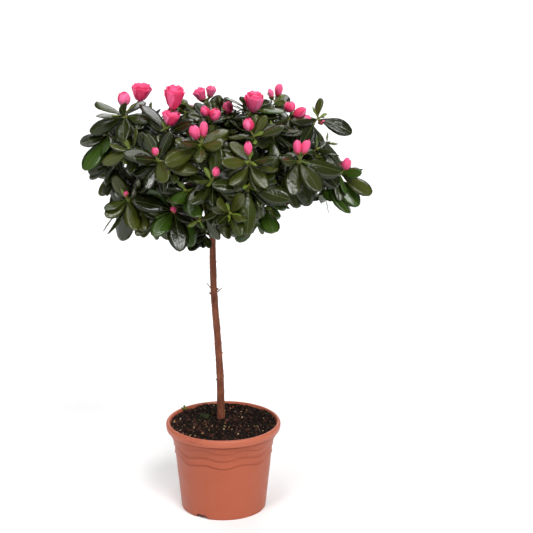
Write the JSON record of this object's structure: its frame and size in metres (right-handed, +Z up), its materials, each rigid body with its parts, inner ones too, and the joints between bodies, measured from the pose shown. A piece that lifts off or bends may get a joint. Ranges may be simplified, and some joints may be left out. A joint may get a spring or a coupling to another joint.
{
  "type": "potted standard azalea shrub",
  "caption": "Azalea grown as a small standard: bare woody trunk in a round nursery pot under a wide flat-topped crown of leaf rosettes with pink buds.",
  "frame": {"origin": "centre of the pot's flat underside", "axes": "+Z up along the trunk, -Y towards the viewer of the picture, +X to the viewer's right"},
  "size_m": [0.363, 0.3243, 0.5778],
  "materials": {
    "terracotta_plastic": "satin terracotta-coloured pot",
    "soil": "moist dark peat",
    "bark": "thin flaking red-brown bark",
    "foliage": "glossy dark green leaves on green twigs, with pink buds"
  },
  "bodies": {
    "root": {"pot": "terracotta_plastic", "soil": "soil", "trunk": "bark", "bough_low_right": "bark", "bough_low_back_right": "bark", "bough_low_back_left": "bark", "bough_low_front_left": "bark", "bough_low_front_right": "bark", "bough_high_back_right": "bark", "bough_high_back_left": "bark", "bough_high_front_left": "bark", "bough_high_front_right": "bark", "bough_top_middle": "bark", "leaves_low_right": "foliage", "leaves_low_back_right": "foliage", "leaves_low_back_left": "foliage", "leaves_low_front_left": "foliage", "leaves_low_front_right": "foliage", "leaves_high_back_right": "foliage", "leaves_high_back_left": "foliage", "leaves_high_front_left": "foliage", "leaves_high_front_right": "foliage", "leaves_top_middle": "foliage", "leaves_trunk_shoot": "foliage"}
  },
  "joints": []
}
